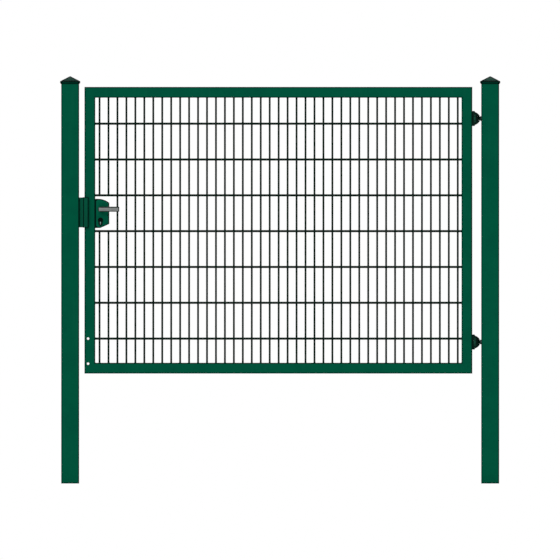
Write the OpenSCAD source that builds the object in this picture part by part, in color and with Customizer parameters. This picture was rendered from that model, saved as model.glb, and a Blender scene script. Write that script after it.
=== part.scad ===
// Single-leaf garden gate: a welded tubular frame filled with double-wire mesh, hung
// between two square posts. Millimetres. X runs from the latch post to the hinge post,
// Y from the front to the back, Z up. The origin is the centre of the hinge post's foot.

/* [Opening] */
// Clear width between the two posts
clear_width = 2245; // [1200:5:3000]
// Gap between the leaf and the hinge post
hinge_gap = 50; // [48:1:70]
// Gap between the leaf and the latch post
latch_gap = 30; // [28:1:45]

/* [Posts] */
// Side of a square post
post_size = 100; // [80:5:140]
// Wall of a post
post_wall = 3; // [2:0.5:5]
// Outer corner radius of a post
post_corner = 6; // [5.5:0.5:9]
// How far a post's tube stands above the leaf
post_above = 22; // [18:1:300]

/* [Post caps] */
// Wall of a cap
cap_wall = 2; // [1.5:0.5:4]
// How far a cap's eave stands out past its skirt
cap_eave = 4; // [1:0.5:8]
// Height of the eave's edge
cap_edge_height = 10; // [3:0.5:12]
// How far the skirt reaches down over the tube
cap_skirt = 5; // [4:0.5:20]
// Height of the pyramid above the eave
cap_pyramid = 28; // [15:1:60]

/* [Leaf frame] */
// Height of the leaf
leaf_height = 1600; // [1200:10:2000]
// Height of the leaf's underside above the foot of the posts
leaf_rise = 614; // [500:2:900]
// Width of a frame tube, seen from the front
frame_width = 60; // [50:1:80]
// Depth of a frame tube, front to back
frame_depth = 40; // [38:1:41]
// Wall of a frame tube
frame_wall = 2; // [1.5:0.5:3]
// Outer corner radius of a frame tube
frame_corner = 4; // [3.5:0.5:6]
// Diameter of the two holes for a drop bolt
bolt_hole_d = 14; // [8:0.5:18]
// Distance of these holes from the leaf's outer edge
bolt_hole_inset = 20; // [16:1:40]
// Height of the lower hole above the leaf's underside
bolt_hole_rise = 55; // [40:1:90]
// Distance between the two holes
bolt_hole_spacing = 140; // [60:1:200]

/* [Wire mesh] */
// Diameter of the upright wires
upright_d = 11; // [4:0.5:11.5]
// Diameter of the paired level wires
level_d = 12.5; // [5:0.5:13]
// Distance between upright wires
upright_pitch = 50; // [40:5:60]
// How far the upright wires stand off the opening's middle, towards the hinges
upright_shift = 1.5; // [-4:0.5:4]
// Distance between pairs of level wires
level_pitch = 200; // [160:10:210]
// Height of the lowest pair above the bottom rail
first_level = 135; // [40:1:190]
// Depth to which crossing wires are fused
weld_depth = 0.6; // [0.2:0.1:1]

/* [Hinges] */
// Distance of a hinge's centre from the leaf's top or underside
hinge_inset = 176; // [120:1:400]
// Height of the plate on the hinge stile
plate_height = 84; // [78:1:120]
// Thickness of that plate
plate_thick = 15; // [10:1:16]
// Height of the fork where it leaves the plate
fork_root = 72; // [60:1:74]
// Height of the fork at its tip
fork_tip = 28; // [14:1:30]
// Radius of the arched outline between them
fork_arch = 45; // [40:1:200]
// Distance of the pin's axis from the hinge stile
pin_offset = 24; // [22:1:26]
// Diameter of the pin
pin_d = 14; // [10:1:16]
// Radius of the fork's ears round the pin, and half the plate's depth
ear_r = 18; // [14:1:19]
// Radius of the eye round the pin
eye_r = 15; // [12:1:15]
// Height of the eye
eye_height = 20; // [16:1:22]
// Diameter of the eyebolt's shank
shank_d = 16; // [10:1:18]
// Diameter of the threaded insert in the post
insert_d = 22; // [20:1:26]
// Width of the lock nut across its flats
nut_width = 24; // [22:1:26]
// Thickness of the lock nut
nut_thick = 4; // [2:0.5:4]

/* [Lock] */
// Height of the lever's axis above the leaf's underside
lever_rise = 917.5; // [880:0.5:940]
// Distance from the lever's axis down to the cylinder's axis
cylinder_drop = 61.5; // [55:0.5:72]
// Distance of both axes from the latch stile's inner edge
lock_backset = 29; // [26:0.5:36]
// Width of the lock case beside the stile
case_width = 78.5; // [66:0.5:90]
// Height of the lock case above the lever's axis
case_above = 58; // [50:1:64]
// Height of the lock case below the cylinder's axis
case_below = 43.5; // [38:0.5:46]
// Thickness of each cover of the lock case
cover_thick = 3; // [2:0.5:5]
// Length of the lever from its axis
lever_length = 105; // [85:0.5:130]
// Height of the lever's grip
lever_height = 28.5; // [22:0.5:30]
// Thickness of the lever's grip
lever_thick = 12; // [8:1:16]
// Free depth behind the grip
grip_room = 30; // [20:1:45]
// Diameter of the lever's neck
neck_d = 18; // [14:1:20]

/* [Keep] */
// Height of the keep
keep_height = 167; // [150:1:190]
// Height of the keep's underside above the leaf's underside
keep_rise = 816; // [800:1:820]
// Width of the block that fills the gap beside the post
keep_block = 24; // [18:1:24]
// How far the stop lip reaches over the leaf
lip_reach = 23; // [18:1:40]
// How far the lip stands out above and below the keep
lip_overhang = 1.5; // [0:0.5:10]
// Thickness of the stop lip
lip_thick = 5; // [3:0.5:8]
// Thickness of the rubber buffers
buffer_thick = 4; // [2:0.5:5]
// Thickness of the flange on the post
flange_thick = 6; // [4:0.5:8]

/* [Clearances] */
// Free play between the closed leaf and the fixed pieces
leaf_play = 5; // [5:0.5:8]
// Radial play of a shaft in its bore
shaft_play = 0.1; // [0.05:0.01:0.2]
// Play of a piece that is fitted into another
fit_play = 0.3; // [0.1:0.05:0.5]

/* [Hidden] */
$fn = 48;
over = 1; // how far a cutter runs past the face that it cuts

frame_green = [0.0, 0.31, 0.22];
wire_green = [0.03, 0.13, 0.10];
hinge_black = [0.06, 0.09, 0.08];
plain_black = [0.05, 0.05, 0.05];
lever_grey = [0.55, 0.56, 0.57];
bright_steel = [0.70, 0.71, 0.72];

// Places along X and Z
post_face = -post_size / 2; // hinge post's inner face
leaf_right = post_face - hinge_gap;
latch_post_x = -(clear_width + post_size);
latch_face = latch_post_x + post_size / 2; // latch post's inner face
leaf_left = latch_face + latch_gap;
leaf_width = leaf_right - leaf_left;
leaf_top = leaf_rise + leaf_height;
post_length = leaf_top + post_above;
stile_inner = leaf_left + frame_width; // latch stile's inner edge
panel_width = leaf_width - 2 * frame_width;
panel_bottom = leaf_rise + frame_width;
panel_height = leaf_height - 2 * frame_width;
pin_x = leaf_right + pin_offset;
upper_hinge_z = leaf_top - hinge_inset;
lower_hinge_z = leaf_rise + hinge_inset;
lever_x = stile_inner + lock_backset;
lever_z = leaf_rise + lever_rise;
cylinder_z = lever_z - cylinder_drop;
case_top = lever_z + case_above;
case_bottom = cylinder_z - case_below;

// ---------------------------------------------------------------- shared shapes

// A rectangle with round corners, centred
module round_rect(size, r) {
    square([size.x - 2 * r, size.y], center = true);
    square([size.x, size.y - 2 * r], center = true);
    for (sx = [-1, 1], sy = [-1, 1])
        translate([sx * (size.x / 2 - r), sy * (size.y / 2 - r)])
            circle(r);
}

// The cross-section of a rectangular tube, centred
module tube_section(size, wall, r) {
    difference() {
        round_rect(size, r);
        round_rect([size.x - 2 * wall, size.y - 2 * wall], r - wall);
    }
}

// A flat shape drawn in X and Z, given a depth from y0 to y1
module front_slab(y0, y1) {
    translate([0, y1, 0])
        rotate([90, 0, 0])
            linear_extrude(y1 - y0)
                children();
}

// A round bar along Y from y0 to y1
module bar_y(d, y0, y1) {
    translate([0, y0, 0])
        rotate([-90, 0, 0])
            cylinder(d = d, h = y1 - y0);
}

// A round bar along X from x0 to x1
module bar_x(d, x0, x1) {
    translate([x0, 0, 0])
        rotate([0, 90, 0])
            cylinder(d = d, h = x1 - x0);
}

// ---------------------------------------------------------------- posts and caps

post_bore_d = insert_d + 2 * shaft_play;

module post(x) {
    color(frame_green)
        translate([x, 0, 0])
            linear_extrude(post_length)
                tube_section([post_size, post_size], post_wall, post_corner);
}

module hinge_post() {
    color(frame_green)
        difference() {
            post(0);
            for (z = [lower_hinge_z, upper_hinge_z])
                translate([0, 0, z])
                    bar_x(post_bore_d, post_face - over, post_face + post_wall + over);
        }
}

skirt_half = post_size / 2 + fit_play + cap_wall;
eave_half = skirt_half + cap_eave;
cap_seat = post_length; // the cap's roof rests on the tube's rim
cap_bottom = cap_seat - cap_skirt;
edge_bottom = cap_seat; // underside of the eave's edge
edge_top = edge_bottom + cap_edge_height;
inner_half = post_size / 2 - post_wall / 2; // the hollow leaves half a wall as a seat
roof_wall = cap_wall / cos(atan(cap_pyramid / eave_half)); // the wall, measured upright
inner_top = edge_top + cap_pyramid - roof_wall;
inner_edge = inner_top - cap_pyramid * inner_half / eave_half;

// The cap's outline, seen from the front and from the side
module cap_outline() {
    polygon([
        [-skirt_half, cap_bottom], [skirt_half, cap_bottom],
        [skirt_half, edge_bottom - cap_eave], [eave_half, edge_bottom],
        [eave_half, edge_top], [0, edge_top + cap_pyramid], [-eave_half, edge_top],
        [-eave_half, edge_bottom], [-skirt_half, edge_bottom - cap_eave]
    ]);
}

module cap_hollow_outline() {
    fit_half = post_size / 2 + fit_play;
    polygon([
        [-fit_half, cap_bottom - over], [fit_half, cap_bottom - over],
        [fit_half, cap_seat], [inner_half, cap_seat],
        [inner_half, inner_edge], [0, inner_top], [-inner_half, inner_edge],
        [-inner_half, cap_seat], [-fit_half, cap_seat]
    ]);
}

// The solid that shows one outline from the front and from the side
module four_sided(reach) {
    intersection() {
        front_slab(-reach, reach) children();
        rotate([0, 0, 90]) front_slab(-reach, reach) children();
    }
}

module post_cap(x) {
    color(frame_green)
        translate([x, 0, 0])
            difference() {
                four_sided(eave_half) cap_outline();
                four_sided(post_size) cap_hollow_outline();
            }
}

// ---------------------------------------------------------------- leaf frame

module upright_tube(x) {
    translate([x, 0, leaf_rise])
        linear_extrude(leaf_height)
            tube_section([frame_width, frame_depth], frame_wall, frame_corner);
}

module level_tube(z) {
    translate([leaf_left, 0, z])
        rotate([90, 0, 90])
            linear_extrude(leaf_width)
                tube_section([frame_depth, frame_width], frame_wall, frame_corner);
}

// Each tube is cut to 45 degrees at its ends by the outline of its own side
module mitred(outline) {
    intersection() {
        children();
        front_slab(-frame_depth, frame_depth) polygon(outline);
    }
}

module bolt_holes() {
    for (rise = [0, bolt_hole_spacing])
        translate([leaf_left + bolt_hole_inset, 0, leaf_rise + bolt_hole_rise + rise])
            bar_y(bolt_hole_d, -frame_depth, frame_depth);
}

module latch_stile() {
    color(frame_green)
        difference() {
            mitred([
                [leaf_left, leaf_rise], [stile_inner, panel_bottom],
                [stile_inner, leaf_top - frame_width], [leaf_left, leaf_top]
            ]) upright_tube(leaf_left + frame_width / 2);
            bolt_holes();
            for (window = bolt_windows)
                bolt_window(window, leaf_left - over, leaf_left + frame_wall + over);
        }
}

module hinge_stile() {
    color(frame_green)
        mitred([
            [leaf_right, leaf_rise], [leaf_right, leaf_top],
            [leaf_right - frame_width, leaf_top - frame_width],
            [leaf_right - frame_width, panel_bottom]
        ]) upright_tube(leaf_right - frame_width / 2);
}

module top_rail() {
    color(frame_green)
        mitred([
            [leaf_left, leaf_top], [stile_inner, leaf_top - frame_width],
            [leaf_right - frame_width, leaf_top - frame_width], [leaf_right, leaf_top]
        ]) level_tube(leaf_top - frame_width / 2);
}

module bottom_rail() {
    color(frame_green)
        mitred([
            [leaf_left, leaf_rise], [leaf_right, leaf_rise],
            [leaf_right - frame_width, panel_bottom], [stile_inner, panel_bottom]
        ]) level_tube(leaf_rise + frame_width / 2);
}

// ---------------------------------------------------------------- wire mesh

wire_sides = 8;
least_margin = upright_pitch * 0.42; // least distance from a stile to an upright wire
upright_count = 1 + floor((panel_width - 2 * least_margin) / upright_pitch);
upright_margin = (panel_width - (upright_count - 1) * upright_pitch) / 2;
level_count = 1 + floor((panel_height - first_level - 2 * level_d) / level_pitch);
level_y = (upright_d + level_d) / 2 - weld_depth;
half_count = ceil(upright_count / 2);

function upright_x(i) = stile_inner + upright_margin + upright_shift + i * upright_pitch;
function level_z(k) = panel_bottom + first_level + k * level_pitch;

// The last pair of level wires under the lock case, and the first one over it
under_lock = max([for (k = [0:level_count - 1]) if (level_z(k) < case_bottom) level_z(k)]);
over_lock = min([for (k = [0:level_count - 1]) if (level_z(k) > case_top) level_z(k)]);
split_x = (upright_x(half_count - 1) + upright_x(half_count)) / 2;
cut_reach = case_width + upright_d; // uprights nearer to the stile stop over and under the lock

// A wire of a few flat sides, as wide across its flats as the wire is thick
module wire(d, length) {
    rotate([0, 0, 180 / wire_sides])
        cylinder(d = d / cos(180 / wire_sides), h = length, $fn = wire_sides);
}

module upright_wire(x, z0, z1) {
    translate([x, 0, z0]) wire(upright_d, z1 - z0);
}

module upright_wires(first, last) {
    panel_top = panel_bottom + panel_height;
    for (i = [first:last]) {
        x = upright_x(i);
        if (x < stile_inner + cut_reach) {
            upright_wire(x, panel_bottom, under_lock + level_d / 2);
            upright_wire(x, over_lock - level_d / 2, panel_top);
        } else
            upright_wire(x, panel_bottom, panel_top);
    }
}

module level_wires(x0, x1) {
    for (k = [0:level_count - 1], side = [-1, 1])
        translate([x0, side * level_y, level_z(k)])
            rotate([0, 90, 0])
                wire(level_d, x1 - x0);
}

module mesh_latch_half() {
    color(wire_green)
        union() {
            upright_wires(0, half_count - 1);
            level_wires(stile_inner, split_x);
        }
}

module mesh_hinge_half() {
    color(wire_green)
        union() {
            upright_wires(half_count, upright_count - 1);
            level_wires(split_x, leaf_right - frame_width);
        }
}

// ---------------------------------------------------------------- hinges

slot_half = eye_height / 2 + fit_play;
eye_gap = 1; // between the eye and the root of the fork
slot_depth = pin_offset - eye_r - eye_gap;
fork_end = pin_offset + ear_r;

// The arch that bounds the fork from above runs from its root to its tip
root_point = [plate_thick, fork_root / 2];
tip_point = [fork_end, fork_tip / 2];
half_chord = norm(tip_point - root_point) / 2;
inward = [tip_point.y - root_point.y, root_point.x - tip_point.x] / (2 * half_chord);
arch_centre = (root_point + tip_point) / 2 + inward * sqrt(pow(fork_arch, 2) - pow(half_chord, 2));

function arch_height(x) = arch_centre.y + sqrt(pow(fork_arch, 2) - pow(x - arch_centre.x, 2));

pin_half = arch_height(pin_offset + pin_d / 2); // its ends lie just under the sloping ears
pin_bore_d = pin_d + 2 * shaft_play;

// The fork's outline from the front: a plate against the stile, and a nose under two arches
module fork_outline() {
    chamfer = 3;
    polygon([
        [0, -plate_height / 2], [plate_thick - chamfer, -plate_height / 2],
        [plate_thick, -plate_height / 2 + chamfer], [plate_thick, plate_height / 2 - chamfer],
        [plate_thick - chamfer, plate_height / 2], [0, plate_height / 2]
    ]);
    intersection() {
        translate(arch_centre) circle(fork_arch, $fn = 240);
        mirror([0, 1]) translate(arch_centre) circle(fork_arch, $fn = 240);
        translate([0, -fork_root / 2]) square([fork_end, fork_root]);
    }
}

// The fork's outline from above, round about the pin
module fork_plan() {
    translate([0, -ear_r]) square([pin_offset, 2 * ear_r]);
    translate([pin_offset, 0]) circle(ear_r);
}

module hinge_bracket(z) {
    color(hinge_black)
        translate([leaf_right, 0, z])
            difference() {
                intersection() {
                    front_slab(-ear_r, ear_r) fork_outline();
                    translate([0, 0, -plate_height / 2]) linear_extrude(plate_height) fork_plan();
                }
                translate([slot_depth, -ear_r - over, -slot_half])
                    cube([fork_end, 2 * (ear_r + over), 2 * slot_half]);
                translate([pin_offset, 0, -plate_height / 2])
                    cylinder(d = pin_bore_d, h = plate_height);
            }
}

module hinge_pin(z) {
    color(bright_steel)
        translate([pin_x, 0, z - pin_half])
            cylinder(d = pin_d, h = 2 * pin_half);
}

insert_length = 14; // how far the insert reaches into the post
insert_flange = 1; // thickness of its flange
insert_rim = 1.5; // how far the flange stands out all round
shank_end = insert_length + 4; // how far the shank reaches into the post
shank_bore_d = shank_d + 2 * shaft_play;

module hinge_eyebolt(z) {
    color(hinge_black)
        translate([0, 0, z])
            difference() {
                union() {
                    translate([pin_x, 0, -eye_height / 2]) cylinder(r = eye_r, h = eye_height);
                    bar_x(shank_d, pin_x, post_face + shank_end);
                }
                translate([pin_x, 0, -eye_height]) cylinder(d = pin_bore_d, h = 2 * eye_height);
            }
}

// Cuts the shank's bore out of a piece between x0 and x1
module shank_bored(x0, x1) {
    difference() {
        children();
        bar_x(shank_bore_d, x0 - over, x1 + over);
    }
}

module hinge_nut(z) {
    x0 = post_face - insert_flange - nut_thick;
    color(hinge_black)
        translate([0, 0, z])
            shank_bored(x0, x0 + nut_thick)
                translate([x0, 0, 0])
                    rotate([0, 90, 0])
                        rotate([0, 0, 30])
                            cylinder(d = nut_width / cos(30), h = nut_thick, $fn = 6);
}

module hinge_insert(z) {
    color(bright_steel)
        translate([0, 0, z])
            shank_bored(post_face - insert_flange, post_face + insert_length)
                union() {
                    bar_x(insert_d, post_face - insert_flange, post_face + insert_length);
                    bar_x(insert_d + 2 * insert_rim, post_face - insert_flange, post_face);
                }
}

// ---------------------------------------------------------------- lock

cover_face = frame_depth / 2; // the covers are flush with the frame
case_half = cover_face - cover_thick;
case_shoulder = case_top - 22.5; // where the arched top meets the side
case_hip = case_bottom + 22.5; // where the slanted underside meets the side
case_level = 15; // level stretch of the top beside the stile
case_foot = 28; // level stretch of the underside beside the stile
case_drop = case_top - case_shoulder;
arch_span = case_width - case_level;
arch_r = (pow(arch_span, 2) + pow(case_drop, 2)) / (2 * case_drop);

// The case's outline from the front, with its arched top
module case_outline() {
    translate([stile_inner, 0]) {
        polygon([
            [0, case_bottom], [case_foot, case_bottom], [case_width, case_hip],
            [case_width, case_shoulder], [0, case_shoulder]
        ]);
        translate([0, case_shoulder]) square([case_level, case_drop]);
        intersection() {
            translate([case_level, case_top - arch_r]) circle(arch_r, $fn = 180);
            translate([case_level, case_shoulder]) square([arch_span, case_drop]);
        }
    }
}

cylinder_r = 8.5; // profile cylinder: round part
tail_w = 10; // and the tail under it
tail_drop = 24.5;

// A profile cylinder's section, widened all round by grow
module cylinder_section(grow = 0) {
    translate([lever_x, cylinder_z]) {
        circle(cylinder_r + grow);
        translate([0, -tail_drop + tail_w / 2]) circle(tail_w / 2 + grow);
        translate([-tail_w / 2 - grow, -tail_drop + tail_w / 2])
            square([tail_w + 2 * grow, tail_drop - tail_w / 2]);
    }
}

rose_d = neck_d + 6;
rose_thick = 4;
spindle_w = 8;
spindle_half = cover_face + rose_thick + 8;
spindle_bore_d = spindle_w * sqrt(2) + 1;
neck_bore_d = neck_d + 2 * shaft_play;

module lock_case() {
    color(frame_green)
        difference() {
            front_slab(-case_half, case_half) case_outline();
            front_slab(-frame_depth, frame_depth) cylinder_section(fit_play);
            translate([lever_x, 0, lever_z]) bar_y(spindle_bore_d, -frame_depth, frame_depth);
        }
}

module lock_cover(side) {
    color(frame_green)
        mirror([0, side, 0])
            difference() {
                front_slab(-cover_face, -case_half) case_outline();
                front_slab(-frame_depth, frame_depth) cylinder_section(fit_play);
                translate([lever_x, 0, lever_z]) bar_y(neck_bore_d, -frame_depth, frame_depth);
            }
}

escutcheon_thick = 3;
escutcheon_rim = 6;
cylinder_half = cover_face + escutcheon_thick + 1;
plug_r = 7.5;
plug_depth = 6;
plug_proud = 0.5;

module escutcheon(side) {
    color(plain_black)
        mirror([0, side, 0])
            difference() {
                front_slab(-cover_face - escutcheon_thick, -cover_face)
                    cylinder_section(escutcheon_rim);
                front_slab(-frame_depth, frame_depth) cylinder_section(fit_play);
            }
}

module lock_cylinder() {
    color(bright_steel)
        difference() {
            front_slab(-cylinder_half, cylinder_half) cylinder_section();
            for (side = [0, 1])
                mirror([0, side, 0])
                    translate([lever_x, 0, cylinder_z])
                        bar_y(2 * (plug_r + shaft_play), -cylinder_half - over, plug_depth - cylinder_half);
        }
}

module key_plug(side) {
    keyway_w = 2;
    keyway_h = 8;
    keyway_deep = 3;
    color(plain_black)
        mirror([0, side, 0])
            translate([lever_x, -cylinder_half, cylinder_z])
                difference() {
                    bar_y(2 * plug_r, -plug_proud, plug_depth);
                    translate([-keyway_w / 2, -plug_proud - over, -keyway_h / 2 - 1])
                        cube([keyway_w, keyway_deep + over, keyway_h]);
                }
}

face_plate_thick = 3;
face_plate_w = 20;
face_plate_h = case_top - case_bottom - 10;
latch_reach = 12; // how far the latch stands out of the stile
latch_w = 14;
latch_h = 18;
bolt_w = 12;
bolt_h = 30;
// Each window is [height of its centre, width front to back, height]
bolt_windows = [
    [lever_z, latch_w + 2 * fit_play, latch_h + 2 * fit_play],
    [cylinder_z, bolt_w + 2 * fit_play, bolt_h + 2 * fit_play]
];

// The opening in a wall between x0 and x1 through which a bolt passes
module bolt_window(window, x0, x1) {
    translate([x0, -window[1] / 2, window[0] - window[2] / 2])
        cube([x1 - x0, window[1], window[2]]);
}

module lock_face_plate() {
    color(bright_steel)
        difference() {
            translate([leaf_left - face_plate_thick, -face_plate_w / 2, case_bottom + 5])
                cube([face_plate_thick, face_plate_w, face_plate_h]);
            for (window = bolt_windows)
                bolt_window(window, leaf_left - face_plate_thick - over, leaf_left + over);
        }
}

// The dead bolt, drawn back so that it is almost flush with the face plate
module dead_bolt() {
    proud = 0.5;
    color(bright_steel)
        translate([leaf_left - face_plate_thick - proud, -bolt_w / 2, cylinder_z - bolt_h / 2])
            cube([frame_width / 2, bolt_w, bolt_h]);
}

// The spring latch, sloped on its front side and square on its rear side
module latch_bolt() {
    color(bright_steel)
        translate([leaf_left, 0, lever_z - latch_h / 2])
            linear_extrude(latch_h)
                polygon([
                    [frame_width / 2, -latch_w / 2], [frame_width / 2, latch_w / 2],
                    [-latch_reach, latch_w / 2], [-latch_reach, latch_w / 2 - 3],
                    [-face_plate_thick - 1, -latch_w / 2]
                ]);
}

// ---------------------------------------------------------------- levers

grip_back = cover_face + grip_room;

module lever_rose(side) {
    color(lever_grey)
        mirror([0, side, 0])
            translate([lever_x, 0, lever_z])
                difference() {
                    bar_y(rose_d, -cover_face - rose_thick, -cover_face);
                    bar_y(neck_bore_d, -frame_depth, frame_depth);
                }
}

module grip_outline() {
    end_r = 4;
    circle(lever_height / 2);
    translate([0, -lever_height / 2]) square([lever_length - end_r, lever_height]);
    translate([0, -lever_height / 2 + end_r]) square([lever_length, lever_height - 2 * end_r]);
    for (side = [-1, 1])
        translate([lever_length - end_r, side * (lever_height / 2 - end_r)]) circle(end_r);
}

// One lever: a grip, and a round neck that turns in the rose and holds the spindle
module lever(side) {
    neck_end = case_half + fit_play; // the neck stops short of the case
    socket = spindle_w + 2 * shaft_play;
    color(lever_grey)
        mirror([0, side, 0])
            translate([lever_x, 0, lever_z])
                difference() {
                    union() {
                        front_slab(-grip_back - lever_thick, -grip_back) grip_outline();
                        bar_y(neck_d, -grip_back - lever_thick / 2, -neck_end);
                    }
                    translate([-socket / 2, -spindle_half - fit_play, -socket / 2])
                        cube([socket, spindle_half, socket]);
                }
}

module lever_spindle() {
    color(bright_steel)
        translate([lever_x - spindle_w / 2, -spindle_half, lever_z - spindle_w / 2])
            cube([spindle_w, 2 * spindle_half, spindle_w]);
}

// ---------------------------------------------------------------- keep on the latch post

keep_z = leaf_rise + keep_rise;
buffer_face = -(frame_depth / 2 + leaf_play); // front of the leaf's free play
lip_back = buffer_face - buffer_thick;
keep_front = lip_back - lip_thick;
latch_side = -(latch_w / 2 + leaf_play); // rear face of the block, clear of the latch
block_back = min(latch_side, -face_plate_w / 2 - leaf_play + 1);
flange_back = 26;
lip_end = latch_gap + lip_reach; // the lip's edge, from the post
strike_thick = 3;
strike_top = latch_gap - latch_reach - leaf_play; // the catch stays clear of the latch
catch_front = latch_w / 2 + leaf_play;
chamber_wall = 4;
groove = 1.5;

// The section of the keep's flange and block from above, measured from the latch post's face
module keep_section() {
    difference() {
        union() {
            translate([0, keep_front]) square([flange_thick, flange_back - keep_front]);
            translate([0, keep_front]) square([keep_block, block_back - keep_front]);
        }
        translate([chamber_wall, keep_front + chamber_wall])
            square([keep_block - 2 * chamber_wall, block_back - keep_front - 2 * chamber_wall]);
    }
}

// The section of its stop lip, from the block's side to the lip's edge, with a groove
module lip_section() {
    lip_start = keep_block - chamber_wall;
    difference() {
        translate([lip_start, keep_front]) square([lip_end - lip_start, lip_thick]);
        translate([keep_block, keep_front - over]) square([groove, groove + over]);
    }
}

strike_back = flange_back - 2;
strike_h = keep_height - 16;
strike_z = keep_z + (keep_height - strike_h) / 2;

module dead_bolt_pocket() {
    translate([latch_face + 1, -bolt_w / 2 - leaf_play / 2, cylinder_z - bolt_h / 2 - leaf_play / 2])
        cube([latch_gap, bolt_w + leaf_play, bolt_h + leaf_play]);
}

module keep_body() {
    color(frame_green)
        difference() {
            translate([latch_face, 0, keep_z]) {
                linear_extrude(keep_height) keep_section();
                translate([0, 0, -lip_overhang])
                    linear_extrude(keep_height + 2 * lip_overhang) lip_section();
            }
            dead_bolt_pocket();
        }
}

module keep_strike() {
    color(bright_steel)
        difference() {
            translate([latch_face, 0, strike_z])
                linear_extrude(strike_h)
                    polygon([
                        [flange_thick, block_back + fit_play],
                        [flange_thick + strike_thick, block_back + fit_play],
                        [flange_thick + strike_thick, catch_front], [strike_top, catch_front],
                        [strike_top, catch_front + 2], [flange_thick + strike_thick, strike_back],
                        [flange_thick, strike_back]
                    ]);
            dead_bolt_pocket();
        }
}

buffer_h = 30;
buffer_w = 14;
buffer_edge = 2; // from the lip's edge
buffer_inset = 15; // from the keep's top or underside
lower_buffer_z = keep_z + buffer_inset;
upper_buffer_z = keep_z + keep_height - buffer_inset - buffer_h;

module keep_buffer(z) {
    color(plain_black)
        translate([latch_face + lip_end - buffer_w - buffer_edge, lip_back, z])
            cube([buffer_w, buffer_thick, buffer_h]);
}

// ---------------------------------------------------------------- nodes

post(latch_post_x);  // latch_post
hinge_post();
post_cap(latch_post_x);  // latch_post_cap
post_cap(0);  // hinge_post_cap
keep_body();
keep_strike();
keep_buffer(upper_buffer_z);  // keep_upper_buffer
keep_buffer(lower_buffer_z);  // keep_lower_buffer
hinge_eyebolt(upper_hinge_z);  // upper_hinge_eyebolt
hinge_eyebolt(lower_hinge_z);  // lower_hinge_eyebolt
hinge_nut(upper_hinge_z);  // upper_hinge_nut
hinge_nut(lower_hinge_z);  // lower_hinge_nut
hinge_insert(upper_hinge_z);  // upper_hinge_insert
hinge_insert(lower_hinge_z);  // lower_hinge_insert
latch_stile();
hinge_stile();
top_rail();
bottom_rail();
mesh_latch_half();
mesh_hinge_half();
hinge_bracket(upper_hinge_z);  // upper_hinge_bracket
hinge_bracket(lower_hinge_z);  // lower_hinge_bracket
hinge_pin(upper_hinge_z);  // upper_hinge_pin
hinge_pin(lower_hinge_z);  // lower_hinge_pin
lock_case();
lock_cover(0);  // lock_front_cover
lock_cover(1);  // lock_rear_cover
lock_face_plate();
dead_bolt();
lock_cylinder();
key_plug(0);  // front_key_plug
key_plug(1);  // rear_key_plug
escutcheon(0);  // front_escutcheon
escutcheon(1);  // rear_escutcheon
lever_rose(0);  // front_lever_rose
lever_rose(1);  // rear_lever_rose
lever_spindle();
lever(0);  // front_lever
lever(1);  // rear_lever
latch_bolt();
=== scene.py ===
import bpy
import bmesh
import math
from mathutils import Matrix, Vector


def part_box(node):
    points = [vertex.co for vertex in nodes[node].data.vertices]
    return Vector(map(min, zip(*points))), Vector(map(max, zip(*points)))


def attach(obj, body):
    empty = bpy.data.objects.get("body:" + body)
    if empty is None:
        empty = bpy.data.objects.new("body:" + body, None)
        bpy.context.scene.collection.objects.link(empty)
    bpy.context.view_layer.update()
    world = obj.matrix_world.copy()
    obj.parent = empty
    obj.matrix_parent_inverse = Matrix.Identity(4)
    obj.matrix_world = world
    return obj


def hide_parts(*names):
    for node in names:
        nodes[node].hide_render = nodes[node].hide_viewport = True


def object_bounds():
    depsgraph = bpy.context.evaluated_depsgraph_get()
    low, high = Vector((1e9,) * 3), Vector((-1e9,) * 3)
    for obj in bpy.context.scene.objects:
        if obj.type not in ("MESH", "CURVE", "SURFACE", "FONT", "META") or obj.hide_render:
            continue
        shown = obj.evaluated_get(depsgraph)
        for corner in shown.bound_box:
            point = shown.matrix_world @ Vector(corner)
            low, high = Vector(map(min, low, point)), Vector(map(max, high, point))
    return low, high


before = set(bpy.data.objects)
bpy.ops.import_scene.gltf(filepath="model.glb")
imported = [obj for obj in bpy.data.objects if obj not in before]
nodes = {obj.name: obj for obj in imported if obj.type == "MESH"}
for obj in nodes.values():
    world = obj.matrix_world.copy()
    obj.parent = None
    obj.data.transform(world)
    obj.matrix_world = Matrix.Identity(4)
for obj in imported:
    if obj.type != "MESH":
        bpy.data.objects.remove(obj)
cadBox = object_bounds()
mm = 0.001
past = 20 * mm  # how far a cutting tool stands out of the piece it cuts
print("frame loaded:", len(nodes), "nodes")


# Helpers that pick, place and shape a piece

def pick(*pieces):
    bpy.ops.object.select_all(action="DESELECT")
    for piece in pieces:
        piece.select_set(True)
    bpy.context.view_layer.objects.active = pieces[0]


def settle(piece):  # moves a piece's place, turn and size into its mesh
    pick(piece)
    bpy.ops.object.transform_apply(location=True, rotation=True, scale=True)
    return piece


def block(name, low, high):
    low, high = Vector(low), Vector(high)
    bpy.ops.object.select_all(action="DESELECT")
    bpy.ops.mesh.primitive_cube_add(size=1, location=(low + high) / 2)
    piece = bpy.context.object
    piece.name = name
    piece.scale = high - low
    return settle(piece)


def rod(name, start, end, radius, sides=32):
    start, end = Vector(start), Vector(end)
    turn = (end - start).to_track_quat("Z", "Y").to_euler()
    bpy.ops.object.select_all(action="DESELECT")
    bpy.ops.mesh.primitive_cylinder_add(vertices=sides, radius=radius, depth=(end - start).length,
                                        location=(start + end) / 2, rotation=turn)
    piece = bpy.context.object
    piece.name = name
    return settle(piece)


def openPiece(piece, kind="FACE"):  # into edit mode with nothing selected
    pick(piece)
    bpy.ops.object.mode_set(mode="EDIT")
    bpy.ops.mesh.select_mode(type=kind)
    bpy.ops.mesh.select_all(action="DESELECT")


def closePiece():
    bpy.ops.object.mode_set(mode="OBJECT")


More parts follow.
